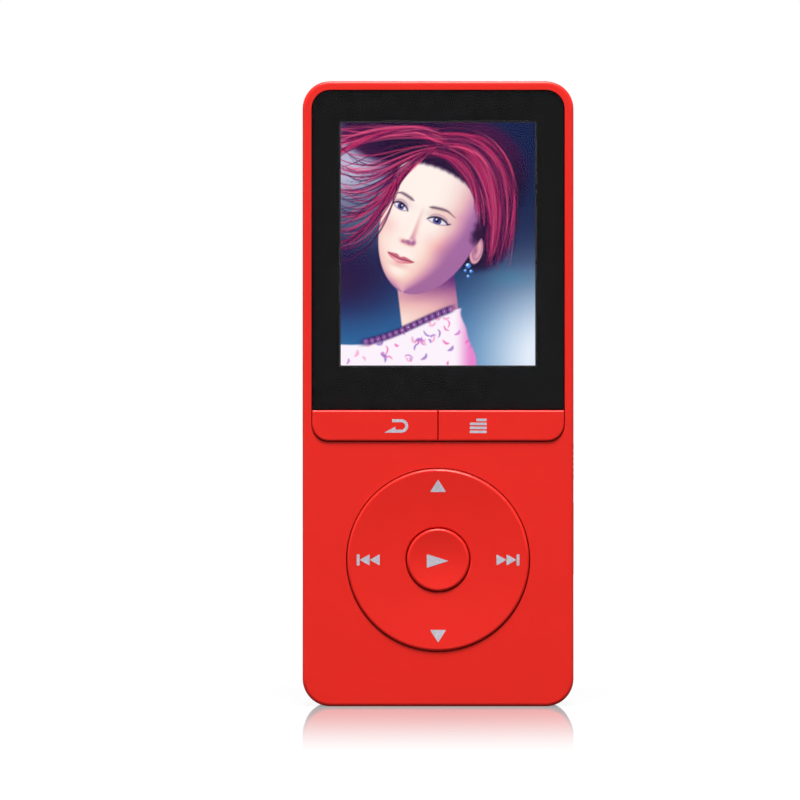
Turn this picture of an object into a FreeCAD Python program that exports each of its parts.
import FreeCAD, Part
import math
import os
from itertools import permutations

# A pocket digital audio player that stands on its bottom edge. Millimetres.
# +X is the right-hand side, -Y the face with the screen and keys, +Z the top.
# The origin is the centre of the bottom edge, half way through the thickness.

Vec = FreeCAD.Vector

# ---- case and cover
width = 39.0
height = 90.0
thickness = 9.5
corner_radius = 4.0
front_edge_radius = 0.5
rear_edge_radius = 1.1
side_wall = 1.2
front_wall = 1.5
rear_wall = 1.2
cover_depth = 1.35  # from the back face to the line where case and cover part

half_width = width / 2
front_y = -thickness / 2
back_y = thickness / 2
parting_y = back_y - cover_depth
parting_groove = 0.15  # width and depth of the groove along the joint
inner_front_y = front_y + front_wall
inner_back_y = back_y - rear_wall
cavity_half = half_width - side_wall

# ---- window, its printed mask and the tape under it
window_margin = 1.27  # frame left beside and above the window
window_top_radius = 2.75
window_height = 46.03
window_thickness = 0.7
window_chamfer = 0.12
window_recess = 0.05
window_gap = 0.06
window_seat_gap = 0.02
mask_thickness = 0.05
mask_border = 0.25  # clear strip left round the lit area
tape_thickness = 0.1
tape_width = 1.1
tape_inset = 0.1
ledge_width = 2.4

window_half = half_width - window_margin
window_top_z = height - window_margin
window_bottom_z = window_top_z - window_height
window_front_y = front_y + window_recess
mask_y = window_front_y + window_thickness
tape_y = mask_y + mask_thickness
ledge_y = tape_y + tape_thickness

# ---- display module
screen_width = 28.03
screen_height = 35.04
screen_rise = 23.9  # from the lower edge of the window to the middle of the screen
module_width = 33.6
module_height = 43.2
module_rise = 1.2
gasket_thickness = 0.25
gasket_width = 1.5
polariser_thickness = 0.1
polariser_border = 0.6
panel_thickness = 0.6
panel_inset = 0.5
backlight_thickness = 1.65
backlight_rim = 0.4
backlight_rim_drop = 0.1
flex_width = 12.0
flex_thickness = 0.12
flex_tail = 6.0
flex_turn_drop = 0.05
flex_slot_gap = 0.3

screen_centre_z = window_bottom_z + screen_rise
module_bottom_z = window_bottom_z + module_rise
module_top_z = module_bottom_z + module_height
panel_y = inner_front_y + gasket_thickness
backlight_y = panel_y + panel_thickness
module_back_y = backlight_y + backlight_thickness

# ---- main board
board_front_y = -0.3
board_thickness = 0.8
board_side_gap = 1.1
board_bottom_gap = 0.5
board_top_gap = 1.4
board_radius = 2.4
board_notch_gap = 0.25

board_back_y = board_front_y + board_thickness
board_half = cavity_half - board_side_gap
board_bottom_z = side_wall + board_bottom_gap
board_top_z = height - side_wall - board_top_gap

# ---- snap-dome switches under the front keys
switch_depth = 3.0
switch_width = 4.0
switch_base = 0.5
dome_radius = 1.3
dome_height = 0.25
post_radius = 0.8
press_gap = 0.35  # from the post of a key to its dome
tilt_gap = 0.25  # from a post of the ring to its dome

switch_top_y = board_front_y - switch_base - dome_height

# ---- back key and menu key
key_height = 4.65
key_corner_radius = 2.5
key_proud = 0.28
key_edge_radius = 0.26
key_gap_top = 0.1
key_gap_side = 0.1
key_gap_bottom = 0.14
key_gap_middle = 0.1
key_switch_x = 9.2
key_flange_lift = 0.45  # between the inner face of the case and the flange of a key
key_neck_gap = 0.5
key_flange_from_x = 0.9
key_flange_inset = 1.3
key_flange_lip = 0.7
key_tab_from_x = 10.0
key_tab_to_x = 16.0
key_tab_lip = 0.6
flange_thickness = 0.5

key_bottom_z = window_bottom_z - key_height
key_centre_z = (key_bottom_z + window_bottom_z) / 2
flange_front_y = inner_front_y + key_flange_lift
flange_back_y = flange_front_y + flange_thickness

# ---- direction ring, the plate that it rocks on, and the centre button
pad_z = 21.1
ring_radius = 13.1
ring_gap = 0.15
ring_proud = 0.3
ring_edge_radius = 0.36
ring_bore_edge_radius = 0.2
ring_dish = 0.38
ring_flange = 1.2
ring_post_circle = 10.4
ring_peg_radius = 0.4
ring_peg_gap = 0.3
ring_peg_angle = 45.0
ring_peg_overlap = 0.2
button_radius = 4.5
button_gap = 0.15
button_proud = 0.28
button_edge_radius = 0.34
button_dish = 0.24
button_flange = 1.1
button_flange_gap = 0.4
button_lift = 0.3
counterbore_lift = 0.2
rib_gap = 0.03  # running clearance under each rib that something rocks on
rib_radius = 0.3
rib_inset = 0.1
rocker_thickness = 0.55
rocker_inner_radius = 6.1
rocker_outer_radius = 8.6

ring_bore = button_radius + button_gap
flange_radius = ring_radius + ring_flange
ring_peg_circle = ring_radius + ring_gap + ring_flange / 2
counterbore_radius = button_radius + button_flange + button_flange_gap
counterbore_y = flange_front_y - counterbore_lift
rocker_front_y = flange_back_y + rib_gap + rib_radius
rocker_back_y = rocker_front_y + rocker_thickness
frame_front_y = rocker_back_y + rib_radius + rib_gap

# ---- middle frame, between the front keys and the board and round the display
frame_gap = 0.25
frame_front_gap = 0.05
rail_gap = 0.2
frame_bottom_z = 8.6
frame_cut_bottom_z = 17.4
frame_cut_gap = 1.0
frame_bar_drop = 0.25
frame_bar_rise = 1.0
frame_hole_gap = 0.3

frame_half = cavity_half - frame_gap
frame_top_z = height - side_wall - frame_gap
frame_bar_bottom_z = window_bottom_z - frame_bar_drop
frame_bar_top_z = window_bottom_z + frame_bar_rise
rail_inner = module_width / 2 + rail_gap

# ---- side controls, on the right
side_key_y = -1.2
side_key_thickness = 1.8
side_key_proud = 0.12
side_key_gap = 0.15
side_key_edge_radius = 0.1
side_flange_width = 2.4
side_flange_gap = 0.2
side_flange_thickness = 0.6
side_switch_gap = 0.6
volume_z = 24.1
volume_length = 10.5
volume_flange_lip = 0.75
volume_switch_offset = 3.9
volume_switch_length = 3.5
volume_switch_depth = 1.7
volume_switch_height = 1.5
volume_stem_length = 1.2
volume_stem_thickness = 0.8
volume_stem_gap = 0.12
fulcrum_length = 1.4
fulcrum_width = 1.0
fulcrum_end_gap = 0.2
power_drop = 2.85
power_length = 5.2
power_travel = 2.0
power_flange_lip = 2.2
power_switch_length = 6.7
power_switch_depth = 2.5
power_switch_height = 1.4
power_slot_depth = 0.9
lever_length = 1.3
lever_thickness = 0.6
lever_gap = 0.1
lever_reach = 0.25
grip_pitch = 0.8
grip_groove = 0.4
grip_depth = 0.08

power_z = key_bottom_z - power_drop
side_outer_x = half_width + side_key_proud
side_flange_x = cavity_half - side_flange_gap
side_flange_inner_x = side_flange_x - side_flange_thickness
side_switch_x = side_flange_inner_x - side_switch_gap
volume_axis_x = side_flange_inner_x - rib_radius / 2
frame_cut_x = side_switch_x - power_switch_depth - frame_cut_gap  # room on the right for the side switches
power_switch_z = power_z + power_travel / 2
power_switch_y = board_front_y - power_switch_height / 2

# ---- headphone socket, in the bottom edge
jack_x = 9.6
jack_y = 0.6
jack_bore_radius = 1.8
jack_bore_length = 12.4
jack_nose_radius = 2.35
jack_nose_gap = 0.15
jack_nose_recess = 0.15
jack_width = 6.2
jack_thickness = 4.6
jack_length = 12.6
jack_wall_gap = 0.25
jack_contact_width = 1.1
jack_contact_thickness = 0.2
jack_contact_foot = 0.9
jack_contact_inset = 0.25
jack_contact_play = 0.02
jack_contact_heights = (4.5, 10.5)

jack_body_z = side_wall + jack_wall_gap

# ---- micro USB socket, in the bottom edge
usb_x = -8.0
usb_width = 7.5
usb_height = 2.6
usb_depth = 5.6
usb_bevel = 0.8
usb_wall = 0.25
usb_recess = 0.3
usb_gap = 0.2
usb_block_depth = 1.2
usb_tongue_width = 4.2
usb_tongue_thickness = 0.6
usb_tongue_setback = 0.8
usb_contact_pitch = 0.65
usb_contact_width = 0.3
usb_contact_thickness = 0.08
usb_contact_setback = 0.3

usb_y = board_back_y + usb_height / 2
usb_top_z = usb_recess + usb_depth
usb_block_z = usb_top_z - usb_wall - usb_block_depth

# ---- microphone, behind a small hole in the bottom edge
mic_x = 0.6
mic_radius = 1.1
mic_length = 1.5
mic_boot_wall = 0.25
mic_hole_radius = 0.5
mic_wall_gap = 0.05

mic_y = board_back_y + mic_radius + mic_boot_wall
mic_z = side_wall + mic_wall_gap

# ---- memory card socket, on the left
card_z = 27.0
card_slot_length = 11.6
card_slot_height = 1.1
card_socket_width = 14.0
card_socket_depth = 14.2
card_socket_height = 1.5
card_socket_gap = 0.1
card_metal = 0.15
card_base = 0.25
card_contact_count = 8
card_contact_pitch = 1.1
card_contact_length = 3.6
card_contact_thickness = 0.12
card_contact_width = 0.5
card_contact_setback = 2.5

card_y = board_back_y + card_socket_height / 2
card_mouth_x = -cavity_half + card_socket_gap

# ---- battery
cell_width = 29.0
cell_height = 37.6
cell_rise = 2.7
cell_thickness = 2.7
cell_edge_radius = 1.0
cell_tape = 0.15
cell_tape_inset = 2.0
cell_board_height = 2.2
cell_board_inset = 1.6
cell_board_thickness = 0.8
lead_radius = 0.4
lead_spacing = 2.4
lead_inset = 2.5
lead_drop = 1.9
lead_run = 2.4
pad_thickness = 0.1
pad_size = 1.6

cell_bottom_z = window_bottom_z + cell_rise
cell_top_z = cell_bottom_z + cell_height
cell_front_y = board_back_y + cell_tape
cell_back_y = cell_front_y + cell_thickness
cell_board_y = (cell_front_y + cell_back_y) / 2
lead_xs = (lead_inset - cell_width / 2, lead_inset - cell_width / 2 + lead_spacing)

# ---- screws that hold the board, and hooks over its top edge
screw_low_inset = 2.7
screw_low_rise = 3.6
screw_high_x = 12.0
screw_high_drop = 2.6
screw_radius = 0.65
screw_head_radius = 1.2
screw_head_height = 0.6
screw_recess = 0.35
screw_recess_length = 1.4
screw_recess_width = 0.3
screw_bite = 2.2
screw_fit = 0.02
screw_hole_gap = 0.15
screw_hole_spare = 0.3
boss_radius = 1.5
hook_x = 9.0
hook_length = 4.0
hook_overlap = 1.0
hook_thickness = 0.8
hook_gap = 0.05

screw_low_x = cavity_half - screw_low_inset
screw_low_z = side_wall + screw_low_rise
screw_high_z = key_bottom_z - screw_high_drop

# ---- lip and snaps of the rear cover
lip_gap = 0.1
lip_thickness = 0.8
lip_depth = 1.25
lip_room = 0.4
snap_radius = 0.3
snap_clearance = 0.1
snap_length = 5.0
snap_heights = (16.0, 45.0, 74.0)

snap_x = cavity_half - lip_gap
snap_y = parting_y - lip_depth / 2

# ---- chips on the back of the board: x, z, width, height, thickness, leads a side
processor = (-2.0, 13.2, 10.0, 10.0, 1.1, 16)
flash_memory = (6.6, 27.5, 18.4, 12.0, 1.0, 20)
radio_chip = (-13.6, 15.6, 4.0, 4.0, 0.75, 0)
crystal = (-13.6, 10.6, 5.0, 3.2, 0.9, 0)
power_coil = (14.6, 18.4, 4.0, 4.0, 1.6, 0)
chip_stand_off = 0.15
chip_pad_inset = 0.2
lead_foot = 0.8
lead_foot_root = 0.1
passive_length = 1.0
passive_width = 0.5
passive_height = 0.5
passive_rows = ((36.4, -7, 7, 1.9), (38.6, -7, 9, 1.9), (40.8, -5, 5, 2.4))  # z, first x, last x, pitch


# ---- helpers
def slab(x0, x1, y0, y1, z0, z1):
    """A block between two corners."""
    return Part.makeBox(x1 - x0, y1 - y0, z1 - z0, Vec(x0, y0, z0))


def block(x, z, size_x, size_z, y0, y1):
    """A block across Y, centred on x and z."""
    return slab(x - size_x / 2, x + size_x / 2, y0, y1, z - size_z / 2, z + size_z / 2)


def disc(radius, y0, y1, x, z):
    """A cylinder along Y."""
    return Part.makeCylinder(radius, y1 - y0, Vec(x, y0, z), Vec(0, 1, 0))


def rod_z(radius, z0, z1, x, y):
    """A cylinder along Z."""
    return Part.makeCylinder(radius, z1 - z0, Vec(x, y, z0), Vec(0, 0, 1))


def rod_x(radius, x0, x1, y, z):
    """A cylinder along X."""
    return Part.makeCylinder(radius, x1 - x0, Vec(x0, y, z), Vec(1, 0, 0))


def closed_face(edges):
    return Part.Face(Part.Wire(Part.__sortEdges__(edges)))


def plate(x0, x1, z0, z1, y0, y1, top_left=0, top_right=0, bottom_right=0, bottom_left=0):
    """A flat plate across Y whose four corners each have their own radius."""
    corners = (
        (x0, z1, 1, -1, top_left),
        (x1, z1, -1, -1, top_right),
        (x1, z0, -1, 1, bottom_right),
        (x0, z0, 1, 1, bottom_left),
    )
    edges = []
    ends = []
    for index, (x, z, in_x, in_z, radius) in enumerate(corners):
        along_z = Vec(x, y0, z + in_z * radius)
        along_x = Vec(x + in_x * radius, y0, z)
        first, last = (along_z, along_x) if index % 2 == 0 else (along_x, along_z)
        ends.append((first, last))
        if radius > 0:
            inset = radius * (1 - math.sqrt(0.5))
            middle = Vec(x + in_x * inset, y0, z + in_z * inset)
            edges.append(arc(first, middle, last))
    for index in range(4):
        edges.append(line(ends[index][1], ends[(index + 1) % 4][0]))
    return closed_face(edges).extrude(Vec(0, y1 - y0, 0))


def outline_plate(inset, y0, y1):
    """The outline of the case, drawn in by inset."""
    edge = half_width - inset
    radius = corner_radius - inset
    return plate(-edge, edge, inset, height - inset, y0, y1, radius, radius, radius, radius)


def edges_in_plane(shape, axis, value):
    """The edges that lie wholly in the plane where axis has that value."""
    found = []
    for edge in shape.Edges:
        box = edge.BoundBox
        low, high = {"x": (box.XMin, box.XMax), "y": (box.YMin, box.YMax)}[axis]
        if abs(low - value) < 1e-4 and abs(high - value) < 1e-4:
            found.append(edge)
    return found


def soften(shape, axis, value, radius):
    return shape.makeFillet(radius, edges_in_plane(shape, axis, value))


def fuse_all(first, others):
    return first.fuse(list(others)).removeSplitter()


def group(solids):
    return Part.makeCompound(list(solids))


def mirrored(shape):
    """The same shape on the other side of the middle plane."""
    return shape.mirror(Vec(0, 0, 0), Vec(1, 0, 0))


def line(a, b):
    return Part.LineSegment(a, b).toShape()


def polyline(points):
    return [line(a, b) for a, b in zip(points, points[1:])]


def arc(a, b, c):
    return Part.Arc(a, b, c).toShape()


def quarter(a, c, corner):
    """A rounded corner from a to c, whose square corner would be at corner."""
    centre = a + c - corner
    radius = (a - centre).Length
    return arc(a, centre + (corner - centre).normalize() * radius, c)


def flat(radius, y):
    """A point of a turned profile, drawn in the plane of X and Y."""
    return Vec(radius, y, 0)


def turned(edges):
    """Revolves a closed profile of radius and y about the Y axis."""
    return closed_face(edges).revolve(Vec(0, 0, 0), Vec(0, 1, 0), 360)


def hollow_face(outer, inner, edge_y, depth):
    """The shallow round hollow in the face of a key, from its outer radius to an inner one."""
    sphere = (outer ** 2 + depth ** 2) / (2 * depth)
    centre_y = edge_y + depth - sphere

    def at(radius):
        return flat(radius, centre_y + math.sqrt(sphere ** 2 - radius ** 2))

    return at(outer), at((outer + inner) / 2), at(inner)


def on_circle(radius, degrees):
    """A point on a circle about the middle of the ring."""
    angle = math.radians(degrees)
    return radius * math.cos(angle), pad_z + radius * math.sin(angle)


def switch_places():
    """x, z, size along X and size along Z of each switch under the front keys."""
    places = []
    for degrees in (0, 180):
        places.append((*on_circle(ring_post_circle, degrees), switch_depth, switch_width))
    for degrees in (90, 270):
        places.append((*on_circle(ring_post_circle, degrees), switch_width, switch_depth))
    places.append((0, pad_z, switch_width, switch_depth))
    for x in (-key_switch_x, key_switch_x):
        places.append((x, key_centre_z, switch_width, switch_depth))
    return places


def screw_places():
    low = [(side * screw_low_x, screw_low_z) for side in (-1, 1)]
    high = [(side * screw_high_x, screw_high_z) for side in (-1, 1)]
    return low + high


def ring_peg_places():
    return [on_circle(ring_peg_circle, ring_peg_angle + turn) for turn in (0, 180)]


# ---- case and cover
def snap_rods(radius, length):
    """Short ribs along Z, three a side, where the cover snaps into the case."""
    rods = []
    for z in snap_heights:
        for side in (-1, 1):
            rods.append(rod_z(radius, z - length / 2, z + length / 2, side * snap_x, snap_y))
    return rods


def window_outline(inset, bottom_inset, y0, y1):
    edge = window_half - inset
    radius = window_top_radius - inset
    return plate(-edge, edge, window_bottom_z + bottom_inset, window_top_z - inset, y0, y1, radius, radius)


def side_slot(low_z, high_z):
    """The slot in the right wall that a side control shows through."""
    reach = side_key_thickness / 2 + side_key_gap
    return slab(cavity_half, half_width, side_key_y - reach, side_key_y + reach,
                low_z - side_key_gap, high_z + side_key_gap)


def front_openings():
    """The seat of the window and the holes for the screen, the two keys and the ring."""
    edge = window_half - ledge_width
    return [
        window_outline(0, 0, front_y, ledge_y),
        slab(-edge, edge, front_y, inner_front_y, window_bottom_z + ledge_width, window_top_z - ledge_width),
        plate(-window_half, window_half, key_bottom_z, window_bottom_z, front_y, inner_front_y,
              0, 0, key_corner_radius, key_corner_radius),
        disc(ring_radius + ring_gap, front_y, inner_front_y, 0, pad_z),
    ]


def edge_openings():
    """The slots and holes in the side walls and in the bottom edge."""
    volume_half = volume_length / 2
    power_half = power_length / 2
    usb_half = usb_height / 2 + usb_gap
    return [
        side_slot(volume_z - volume_half, volume_z + volume_half),
        side_slot(power_z - power_half, power_z + power_half + power_travel),
        slab(-half_width, -cavity_half, card_y - card_slot_height / 2, card_y + card_slot_height / 2,
             card_z - card_slot_length / 2, card_z + card_slot_length / 2),
        rod_z(jack_nose_radius + jack_nose_gap, 0, side_wall, jack_x, jack_y),
        slab(usb_x - usb_width / 2 - usb_gap, usb_x + usb_width / 2 + usb_gap,
             usb_y - usb_half, usb_y + usb_half, 0, side_wall),
        rod_z(mic_hole_radius, 0, side_wall, mic_x, mic_y),
    ]


def case_fittings():
    """Screw bosses, hooks over the board, the rib behind the volume key and the pegs in the ring."""
    fittings = [disc(boss_radius, inner_front_y, board_front_y, x, z) for x, z in screw_places()]
    hook_y = board_back_y + hook_gap
    for x in (-hook_x, hook_x):
        fittings.append(slab(x - hook_length / 2, x + hook_length / 2, hook_y, hook_y + hook_thickness,
                             board_top_z - hook_overlap, height - side_wall))
    fulcrum_x = volume_axis_x - rib_radius - rib_gap
    fittings.append(slab(fulcrum_x - fulcrum_length, fulcrum_x, inner_front_y, board_front_y - fulcrum_end_gap,
                         volume_z - fulcrum_width / 2, volume_z + fulcrum_width / 2))
    for x, z in ring_peg_places():
        fittings.append(disc(ring_peg_radius, inner_front_y, flange_front_y + ring_peg_overlap, x, z))
    return fittings


def front_case():
    """The deep front half: it carries the window, every key and the board."""
    case = soften(outline_plate(0, front_y, parting_y), "y", front_y, front_edge_radius)
    case = case.cut(outline_plate(side_wall, inner_front_y, parting_y))
    case = fuse_all(case, case_fittings())
    depth = screw_bite + screw_hole_spare
    holes = [disc(screw_radius + screw_fit, board_front_y - depth, board_front_y, x, z)
             for x, z in screw_places()]
    grooves = snap_rods(snap_radius + snap_clearance, snap_length + 2 * snap_clearance)
    return case.cut(front_openings() + edge_openings() + holes + grooves)


def rear_cover():
    """The back plate, with a lip that snaps inside the case."""
    cover = soften(outline_plate(0, parting_y, back_y), "y", back_y, rear_edge_radius)
    cover = cover.cut(outline_plate(side_wall + lip_gap, parting_y, inner_back_y))
    groove_y = parting_y + parting_groove
    groove = outline_plate(0, parting_y, groove_y).cut(outline_plate(parting_groove, parting_y, groove_y))
    cover = cover.cut(groove)
    lip_y = parting_y - lip_depth
    lip = outline_plate(side_wall + lip_gap, lip_y, inner_back_y)
    lip = lip.cut(outline_plate(side_wall + lip_gap + lip_thickness, lip_y, inner_back_y))
    lip_top = side_wall + lip_gap + lip_thickness
    sockets = (
        (usb_x, usb_width / 2),
        (jack_x, jack_width / 2),
        (mic_x, mic_radius + mic_boot_wall),
    )
    for x, half in sockets:
        lip = lip.cut(slab(x - half - lip_room, x + half + lip_room, lip_y, parting_y, 0, lip_top))
    return fuse_all(cover, [lip] + snap_rods(snap_radius, snap_length))


# ---- window
def window_lens():
    lens = window_outline(window_gap, window_seat_gap, window_front_y, mask_y)
    return lens.makeChamfer(window_chamfer, edges_in_plane(lens, "y", window_front_y))


def screen_block(border, y0, y1):
    """A block over the lit area, with a border all round it."""
    return block(0, screen_centre_z, screen_width + 2 * border, screen_height + 2 * border, y0, y1)


def window_mask():
    """The dark print on the back of the window, open over the lit area."""
    print_layer = window_outline(window_gap, window_seat_gap, mask_y, tape_y)
    return print_layer.cut(screen_block(mask_border, mask_y, tape_y))


def window_tape():
    inner = tape_inset + tape_width
    tape = window_outline(tape_inset, tape_inset, tape_y, ledge_y)
    return tape.cut(window_outline(inner, inner, tape_y, ledge_y))


# ---- display module
def module_block(inset, y0, y1):
    return slab(-module_width / 2 + inset, module_width / 2 - inset, y0, y1,
                module_bottom_z + inset, module_top_z - inset)


def display_gasket():
    """Foam between the case and the display."""
    return module_block(0, inner_front_y, panel_y).cut(module_block(gasket_width, inner_front_y, panel_y))


def display_polariser():
    return screen_block(polariser_border, panel_y - polariser_thickness, panel_y)


def display_glass():
    return module_block(panel_inset, panel_y, backlight_y)


def display_backlight():
    """The light box behind the glass, with a low rim round it that is open for the ribbon."""
    rim_y = panel_y + backlight_rim_drop
    rim = module_block(0, rim_y, backlight_y).cut(module_block(backlight_rim, rim_y, backlight_y))
    gap = flex_width / 2 + flex_slot_gap
    rim = rim.cut(slab(-gap, gap, rim_y, backlight_y, module_bottom_z, module_bottom_z + backlight_rim))
    return fuse_all(module_block(0, backlight_y, module_back_y), [rim])


def display_flex():
    """The ribbon from the lower edge of the glass, folded back under the light box onto the board."""
    front = backlight_y - flex_thickness
    back = board_front_y - flex_thickness
    outer = (board_front_y - front) / 2
    inner = outer - flex_thickness
    middle_y = front + outer
    turn_z = module_bottom_z - flex_turn_drop
    glass_z = module_bottom_z + panel_inset
    tail_z = module_bottom_z + flex_tail

    def at(y, z):
        return Vec(-flex_width / 2, y, z)

    edges = [
        arc(at(front, turn_z), at(middle_y, turn_z - outer), at(board_front_y, turn_z)),
        arc(at(backlight_y, turn_z), at(middle_y, turn_z - inner), at(back, turn_z)),
    ]
    at_glass = [at(front, turn_z), at(front, glass_z), at(backlight_y, glass_z), at(backlight_y, turn_z)]
    at_board = [at(board_front_y, turn_z), at(board_front_y, tail_z), at(back, tail_z), at(back, turn_z)]
    edges += polyline(at_glass) + polyline(at_board)
    return closed_face(edges).extrude(Vec(flex_width, 0, 0))


# ---- front keys
def menu_key():
    """The right-hand key: a cap, a neck, a flange that stays behind the case, and a post."""
    front = front_y - key_proud
    top = window_bottom_z - key_gap_top
    bottom = key_bottom_z + key_gap_bottom
    left = key_gap_middle / 2
    radius = key_corner_radius - key_gap_side
    cap = plate(left, window_half - key_gap_side, bottom, top, front, inner_front_y, 0, 0, radius, 0)
    cap = soften(cap, "y", front, key_edge_radius)
    neck = plate(left, cavity_half - key_neck_gap, bottom, top, inner_front_y, flange_front_y, 0, 0, radius, 0)
    flange = slab(key_flange_from_x, cavity_half - key_flange_inset, flange_front_y, flange_back_y,
                  key_bottom_z - key_flange_lip, top)
    tab = slab(key_tab_from_x, key_tab_to_x, flange_front_y, flange_back_y, top, window_bottom_z + key_tab_lip)
    post = disc(post_radius, flange_back_y, switch_top_y - press_gap, key_switch_x, key_centre_z)
    return fuse_all(cap, [neck, flange, tab, post])


def back_key():
    return mirrored(menu_key())


def direction_ring():
    """The dished ring, with a flange behind the case and a post over each of its four switches."""
    edge_y = front_y - ring_proud
    face = hollow_face(ring_radius - ring_edge_radius, ring_bore + ring_bore_edge_radius, edge_y, ring_dish)
    rim = flat(ring_radius, edge_y + ring_edge_radius)
    bore = flat(ring_bore, face[2].y + ring_bore_edge_radius)
    edges = [
        arc(*face),
        quarter(face[0], rim, flat(ring_radius, edge_y)),
        quarter(face[2], bore, flat(ring_bore, face[2].y)),
    ]
    edges += polyline([
        rim,
        flat(ring_radius, flange_front_y),
        flat(flange_radius, flange_front_y),
        flat(flange_radius, flange_back_y),
        flat(counterbore_radius, flange_back_y),
        flat(counterbore_radius, counterbore_y),
        flat(ring_bore, counterbore_y),
        bore,
    ])
    ring = turned(edges)
    ring.translate(Vec(0, 0, pad_z))
    posts = []
    for degrees in (0, 90, 180, 270):
        x, z = on_circle(ring_post_circle, degrees)
        posts.append(disc(post_radius, flange_back_y, switch_top_y - tilt_gap, x, z))
    notches = [disc(ring_peg_radius + ring_peg_gap, flange_front_y, flange_back_y, x, z)
               for x, z in ring_peg_places()]
    return fuse_all(ring, posts).cut(notches)


def ring_rocker():
    """The plate under the ring: its rear ribs let it nod, its front ribs let the ring roll on it."""
    body = disc(rocker_outer_radius, rocker_front_y, rocker_back_y, 0, pad_z)
    body = body.cut(disc(rocker_inner_radius, rocker_front_y, rocker_back_y, 0, pad_z))
    near = rocker_inner_radius + rib_inset
    far = rocker_outer_radius - rib_inset
    ribs = []
    for low, high in ((near, far), (-far, -near)):
        ribs.append(rod_z(rib_radius, pad_z + low, pad_z + high, 0, rocker_front_y))
        ribs.append(rod_x(rib_radius, low, high, rocker_back_y, pad_z))
    return fuse_all(body, ribs)


def centre_button():
    edge_y = front_y - button_proud
    face = hollow_face(button_radius - button_edge_radius, 0, edge_y, button_dish)
    rim = flat(button_radius, edge_y + button_edge_radius)
    flange_y = counterbore_y + button_lift
    flange_end_y = flange_y + flange_thickness
    post_end_y = switch_top_y - press_gap
    outer = button_radius + button_flange
    edges = [arc(*face), quarter(face[0], rim, flat(button_radius, edge_y))]
    edges += polyline([
        rim,
        flat(button_radius, flange_y),
        flat(outer, flange_y),
        flat(outer, flange_end_y),
        flat(post_radius, flange_end_y),
        flat(post_radius, post_end_y),
        flat(0, post_end_y),
        face[2],
    ])
    button = turned(edges)
    button.translate(Vec(0, 0, pad_z))
    return button


# ---- middle frame, board and switches
def jack_notch(y0, y1, low_z):
    """The space that the headphone socket needs in the board and the middle frame."""
    half = jack_width / 2 + board_notch_gap
    return slab(jack_x - half, jack_x + half, y0, y1, low_z, jack_body_z + jack_length + board_notch_gap)


def middle_frame():
    """The moulding that the ring rocks on and that holds the display from behind the case."""
    rail_y = inner_front_y + frame_front_gap
    radius = corner_radius - side_wall - frame_gap
    frame = slab(-frame_half, frame_half, frame_front_y, board_front_y, frame_bottom_z, frame_bar_top_z)
    rails = plate(-frame_half, frame_half, frame_bar_top_z, frame_top_z, rail_y, board_front_y, radius, radius)
    rails = rails.cut(slab(-rail_inner, rail_inner, rail_y, board_front_y,
                           frame_bar_top_z, module_top_z + rail_gap))
    frame = fuse_all(frame, [rails])
    holes = [jack_notch(frame_front_y, board_front_y, frame_bottom_z)]
    for x, z, size_x, size_z in switch_places():
        holes.append(block(x, z, size_x + 2 * frame_hole_gap, size_z + 2 * frame_hole_gap,
                           frame_front_y, board_front_y))
    for x, z in screw_places():
        holes.append(disc(boss_radius + frame_gap, frame_front_y, board_front_y, x, z))
    holes.append(slab(frame_cut_x, frame_half, frame_front_y, board_front_y,
                      frame_cut_bottom_z, frame_bar_bottom_z))
    flex_half = flex_width / 2 + flex_slot_gap
    holes.append(slab(-flex_half, flex_half, frame_front_y, board_front_y,
                      frame_bar_bottom_z, frame_bar_top_z))
    return frame.cut(holes)


def main_board():
    board = plate(-board_half, board_half, board_bottom_z, board_top_z, board_front_y, board_back_y,
                  board_radius, board_radius, board_radius, board_radius)
    holes = [disc(screw_radius + screw_hole_gap, board_front_y, board_back_y, x, z)
             for x, z in screw_places()]
    return board.cut(holes + [jack_notch(board_front_y, board_back_y, board_bottom_z)])


def key_switches():
    base_y = board_front_y - switch_base
    return group(block(x, z, size_x, size_z, base_y, board_front_y)
                 for x, z, size_x, size_z in switch_places())


def snap_dome():
    """A cap cut from a sphere, standing on the plane y = 0."""
    sphere = (dome_radius ** 2 + dome_height ** 2) / (2 * dome_height)
    half_angle = math.asin(dome_radius / sphere) / 2
    edge = flat(dome_radius, 0)
    top = flat(0, -dome_height)
    middle = flat(sphere * math.sin(half_angle), sphere - dome_height - sphere * math.cos(half_angle))
    return turned([arc(edge, middle, top)] + polyline([top, flat(0, 0), edge]))


def switch_domes():
    domes = []
    for x, z, _, _ in switch_places():
        dome = snap_dome()
        dome.translate(Vec(x, board_front_y - switch_base, z))
        domes.append(dome)
    return group(domes)


# ---- side controls
def side_cap(low_z, high_z):
    half = side_key_thickness / 2
    cap = slab(side_flange_x, side_outer_x, side_key_y - half, side_key_y + half, low_z, high_z)
    return soften(cap, "x", side_outer_x, side_key_edge_radius)


def side_flange(low_z, high_z):
    half = side_flange_width / 2
    return slab(side_flange_inner_x, side_flange_x, side_key_y - half, side_key_y + half, low_z, high_z)


def volume_key():
    """Rocks on the rib at its middle, over one switch at each end."""
    half = volume_length / 2
    reach = half + volume_flange_lip
    rib_y = side_key_y - side_key_thickness / 2
    rib = disc(rib_radius, rib_y, board_front_y - fulcrum_end_gap, volume_axis_x, volume_z)
    cap = side_cap(volume_z - half, volume_z + half)
    return fuse_all(cap, [side_flange(volume_z - reach, volume_z + reach), rib])


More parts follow.
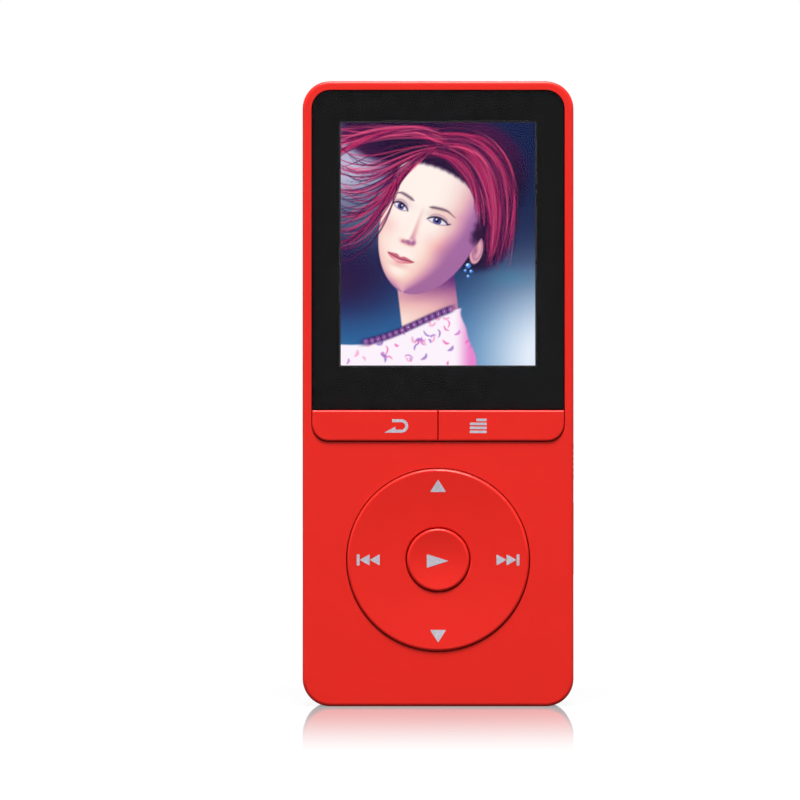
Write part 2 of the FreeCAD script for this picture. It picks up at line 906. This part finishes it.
def volume_switches():
    """Two side-press switches, each with its stem."""
    switches = []
    y = board_front_y - volume_switch_height / 2
    for side in (-1, 1):
        z = volume_z + side * volume_switch_offset
        body = slab(side_switch_x - volume_switch_depth, side_switch_x, board_front_y - volume_switch_height,
                    board_front_y, z - volume_switch_length / 2, z + volume_switch_length / 2)
        stem = slab(side_switch_x, side_flange_inner_x - volume_stem_gap, y - volume_stem_thickness / 2,
                    y + volume_stem_thickness / 2, z - volume_stem_length / 2, z + volume_stem_length / 2)
        switches.append(fuse_all(body, [stem]))
    return group(switches)


def lever_block(x0, x1, travel, gap):
    """A block round the lever of the power switch, as long as its travel needs."""
    return slab(x0, x1, power_switch_y - lever_thickness / 2 - gap, power_switch_y + lever_thickness / 2 + gap,
                power_z - lever_length / 2 - gap, power_z + travel + lever_length / 2 + gap)


def power_knob():
    """The sliding knob, with grip grooves and a pocket for the lever of the switch."""
    half = power_length / 2
    reach = half + power_flange_lip
    knob = fuse_all(side_cap(power_z - half, power_z + half), [side_flange(power_z - reach, power_z + reach)])
    pocket_end = side_flange_inner_x + lever_reach + lever_gap
    cuts = [lever_block(side_flange_inner_x, pocket_end, 0, lever_gap)]
    count = int((power_length - grip_pitch) / grip_pitch)
    depth = side_key_thickness / 2
    for index in range(count):
        z = power_z + (index - (count - 1) / 2) * grip_pitch
        cuts.append(slab(side_outer_x - grip_depth, side_outer_x, side_key_y - depth, side_key_y + depth,
                         z - grip_groove / 2, z + grip_groove / 2))
    return knob.cut(cuts)


def power_switch():
    half = power_switch_length / 2
    body = slab(side_switch_x - power_switch_depth, side_switch_x, board_front_y - power_switch_height,
                board_front_y, power_switch_z - half, power_switch_z + half)
    return body.cut(lever_block(side_switch_x - power_slot_depth, side_switch_x, power_travel, lever_gap))


def power_lever():
    return lever_block(side_switch_x - power_slot_depth + lever_gap, side_flange_inner_x + lever_reach, 0, 0)


# ---- sockets and microphone
def contact_strip(side, z, play):
    """A contact of the headphone socket: from beside the bore out onto the board."""
    near = jack_bore_radius + jack_contact_inset - play
    far = jack_width / 2 + jack_contact_foot
    strip = slab(near, far, board_back_y - play, board_back_y + jack_contact_thickness + play,
                 z - jack_contact_width / 2 - play, z + jack_contact_width / 2 + play)
    if side < 0:
        strip = mirrored(strip)
    strip.translate(Vec(jack_x, 0, 0))
    return strip


def headphone_jack():
    half = jack_width / 2
    body = slab(jack_x - half, jack_x + half, jack_y - jack_thickness / 2, jack_y + jack_thickness / 2,
                jack_body_z, jack_body_z + jack_length)
    nose = rod_z(jack_nose_radius, jack_nose_recess, jack_body_z, jack_x, jack_y)
    cuts = [rod_z(jack_bore_radius, jack_nose_recess, jack_nose_recess + jack_bore_length, jack_x, jack_y)]
    for z in jack_contact_heights:
        for side in (-1, 1):
            cuts.append(contact_strip(side, z, jack_contact_play))
    return fuse_all(body, [nose]).cut(cuts)


def jack_contacts():
    return group(contact_strip(side, z, 0) for z in jack_contact_heights for side in (-1, 1))


def usb_profile(inset, z0, z1):
    """The outline of the socket: flat on the board, with its two outer corners cut off."""
    half = usb_width / 2 - inset
    near = board_back_y + inset
    far = board_back_y + usb_height - inset
    cut = usb_bevel - inset / 2
    outline = (
        (-half, near),
        (half, near),
        (half, far - cut),
        (half - cut, far),
        (-half + cut, far),
        (-half, far - cut),
        (-half, near),
    )
    edges = polyline([Vec(usb_x + x, y, z0) for x, y in outline])
    return closed_face(edges).extrude(Vec(0, 0, z1 - z0))


def usb_shell():
    return usb_profile(0, usb_recess, usb_top_z).cut(usb_profile(usb_wall, usb_recess, usb_top_z - usb_wall))


def usb_tongue():
    """The insulator: a block at the back of the socket with a thin tongue towards its mouth."""
    back = usb_profile(usb_wall, usb_block_z, usb_top_z - usb_wall)
    tongue = slab(usb_x - usb_tongue_width / 2, usb_x + usb_tongue_width / 2,
                  usb_y - usb_tongue_thickness / 2, usb_y + usb_tongue_thickness / 2,
                  usb_recess + usb_tongue_setback, usb_block_z)
    return fuse_all(back, [tongue])


def usb_contacts():
    strips = []
    y = usb_y - usb_tongue_thickness / 2
    low = usb_recess + usb_tongue_setback + usb_contact_setback
    for index in range(-2, 3):
        x = usb_x + index * usb_contact_pitch
        strips.append(slab(x - usb_contact_width / 2, x + usb_contact_width / 2,
                           y - usb_contact_thickness, y, low, usb_block_z))
    return group(strips)


def microphone():
    return rod_z(mic_radius, mic_z, mic_z + mic_length, mic_x, mic_y)


def microphone_boot():
    boot = rod_z(mic_radius + mic_boot_wall, mic_z, mic_z + mic_length, mic_x, mic_y)
    return boot.cut(microphone())


def card_block(inset, y0, y1):
    """A block inside the outline of the card socket, open towards the left wall."""
    half = card_socket_width / 2 - inset
    return slab(card_mouth_x, card_mouth_x + card_socket_depth - inset, y0, y1, card_z - half, card_z + half)


def card_socket_cover():
    back = board_back_y + card_socket_height
    return card_block(0, board_back_y, back).cut(card_block(card_metal, board_back_y, back - card_metal))


def card_socket_base():
    return card_block(card_metal, board_back_y, board_back_y + card_base)


def card_contacts():
    near = board_back_y + card_base
    start = card_mouth_x + card_contact_setback
    strips = []
    for index in range(card_contact_count):
        z = card_z + (index - (card_contact_count - 1) / 2) * card_contact_pitch
        strips.append(slab(start, start + card_contact_length, near, near + card_contact_thickness,
                           z - card_contact_width / 2, z + card_contact_width / 2))
    return group(strips)


# ---- chips
def chip(spec):
    """A chip body; its leads, where it has them, are a comb of feet on two opposite sides."""
    x, z, size_x, size_z, rise, leads = spec
    body = block(x, z, size_x, size_z, board_back_y + chip_stand_off, board_back_y + rise)
    feet = []
    pitch = size_z / (leads + 1)
    length = lead_foot + lead_foot_root
    for index in range(leads):
        foot_z = z - size_z / 2 + (index + 1) * pitch
        for side in (-1, 1):
            foot_x = x + side * (size_x / 2 + (lead_foot - lead_foot_root) / 2)
            feet.append(block(foot_x, foot_z, length, pitch / 2,
                              board_back_y, board_back_y + 2 * chip_stand_off))
    if not leads:
        pad_x = size_x - 2 * chip_pad_inset
        pad_z_size = size_z - 2 * chip_pad_inset
        feet.append(block(x, z, pad_x, pad_z_size, board_back_y, board_back_y + chip_stand_off))
    return fuse_all(body, feet)


def passives():
    """Rows of small resistors and capacitors."""
    pieces = []
    for z, first, last, pitch in passive_rows:
        count = int((last - first) / pitch) + 1
        for index in range(count):
            pieces.append(block(first + index * pitch, z, passive_length, passive_width,
                                board_back_y, board_back_y + passive_height))
    return group(pieces)


# ---- battery
def battery_cell():
    half = cell_width / 2
    cell = slab(-half, half, cell_front_y, cell_back_y, cell_bottom_z, cell_top_z)
    long_edges = [edge for edge in cell.Edges if edge.BoundBox.ZLength > cell_width / 2]
    return cell.makeFillet(cell_edge_radius, long_edges)


def battery_tape():
    half = cell_width / 2 - cell_edge_radius
    return slab(-half, half, board_back_y, cell_front_y,
                cell_bottom_z + cell_tape_inset, cell_top_z - cell_tape_inset)


def battery_board():
    """The protection board across the lower end of the cell."""
    half = cell_width / 2 - cell_board_inset
    return slab(-half, half, cell_board_y - cell_board_thickness / 2, cell_board_y + cell_board_thickness / 2,
                cell_bottom_z - cell_board_height, cell_bottom_z)


def lead_route(x):
    """From the lower edge of the protection board, down and in to a pad on the main board."""
    start_z = cell_bottom_z - cell_board_height
    rest_y = board_back_y + pad_thickness + lead_radius
    return [
        Vec(x, cell_board_y, start_z),
        Vec(x, cell_board_y, start_z - lead_drop),
        Vec(x, rest_y, start_z - lead_drop - lead_run),
        Vec(x, rest_y, start_z - 2 * lead_drop - lead_run),
    ]


def tube(route, radius):
    """A round lead along straight runs joined by tangent arcs."""
    edges = []
    start = route[0]
    for before, corner, after in zip(route, route[1:], route[2:]):
        into = (before - corner).normalize()
        out = (after - corner).normalize()
        reach = 0.45 * min((before - corner).Length, (after - corner).Length)
        half_turn = (math.pi - into.getAngle(out)) / 2
        bend = reach / math.tan(half_turn)
        centre = corner + (into + out).normalize() * (bend / math.cos(half_turn))
        first = corner + into * reach
        last = corner + out * reach
        edges += [line(start, first), arc(first, centre + (corner - centre).normalize() * bend, last)]
        start = last
    edges.append(line(start, route[-1]))
    section = Part.Wire(Part.makeCircle(radius, route[0], route[1] - route[0]))
    return Part.Wire(edges).makePipeShell([section], True, False)


def battery_lead(x):
    return tube(lead_route(x), lead_radius)


def lead_pads():
    """Solder pads under the ends of the leads."""
    pads = []
    for x in lead_xs:
        end = lead_route(x)[-1]
        pads.append(block(x, end.z + pad_size / 2, pad_size, pad_size,
                          board_back_y, board_back_y + pad_thickness))
    return group(pads)


# ---- screws
def board_screw(x, z):
    top = board_back_y + screw_head_height
    head = disc(screw_head_radius, board_back_y, top, x, z)
    for size_x, size_z in permutations((screw_recess_length, screw_recess_width)):
        head = head.cut(block(x, z, size_x, size_z, top - screw_recess, top))
    shank = disc(screw_radius, board_front_y - screw_bite, board_back_y, x, z)
    return fuse_all(head, [shank])


def board_screws():
    return group(board_screw(x, z) for x, z in screw_places())


# ---- write the parts
def main():
    pieces = {
        "front_case": front_case(),
        "rear_cover": rear_cover(),
        "window_lens": window_lens(),
        "window_mask": window_mask(),
        "window_tape": window_tape(),
        "display_gasket": display_gasket(),
        "display_polariser": display_polariser(),
        "display_glass": display_glass(),
        "display_backlight": display_backlight(),
        "display_flex": display_flex(),
        "back_key": back_key(),
        "menu_key": menu_key(),
        "direction_ring": direction_ring(),
        "ring_rocker": ring_rocker(),
        "centre_button": centre_button(),
        "middle_frame": middle_frame(),
        "main_board": main_board(),
        "key_switches": key_switches(),
        "switch_domes": switch_domes(),
        "volume_key": volume_key(),
        "volume_switches": volume_switches(),
        "power_knob": power_knob(),
        "power_switch": power_switch(),
        "power_lever": power_lever(),
        "headphone_jack": headphone_jack(),
        "jack_contacts": jack_contacts(),
        "usb_shell": usb_shell(),
        "usb_tongue": usb_tongue(),
        "usb_contacts": usb_contacts(),
        "microphone": microphone(),
        "microphone_boot": microphone_boot(),
        "card_socket_cover": card_socket_cover(),
        "card_socket_base": card_socket_base(),
        "card_contacts": card_contacts(),
        "processor": chip(processor),
        "flash_memory": chip(flash_memory),
        "radio_chip": chip(radio_chip),
        "crystal": chip(crystal),
        "power_coil": chip(power_coil),
        "passives": passives(),
        "battery_cell": battery_cell(),
        "battery_tape": battery_tape(),
        "battery_board": battery_board(),
        "battery_lead_positive": battery_lead(lead_xs[0]),
        "battery_lead_negative": battery_lead(lead_xs[1]),
        "lead_pads": lead_pads(),
        "board_screws": board_screws(),
    }
    os.makedirs("parts", exist_ok=True)
    for name, shape in pieces.items():
        shape.exportStep("parts/" + name + ".step")
        print(name, len(shape.Solids), round(shape.Volume, 3), "ok" if shape.isValid() else "not valid")


main()
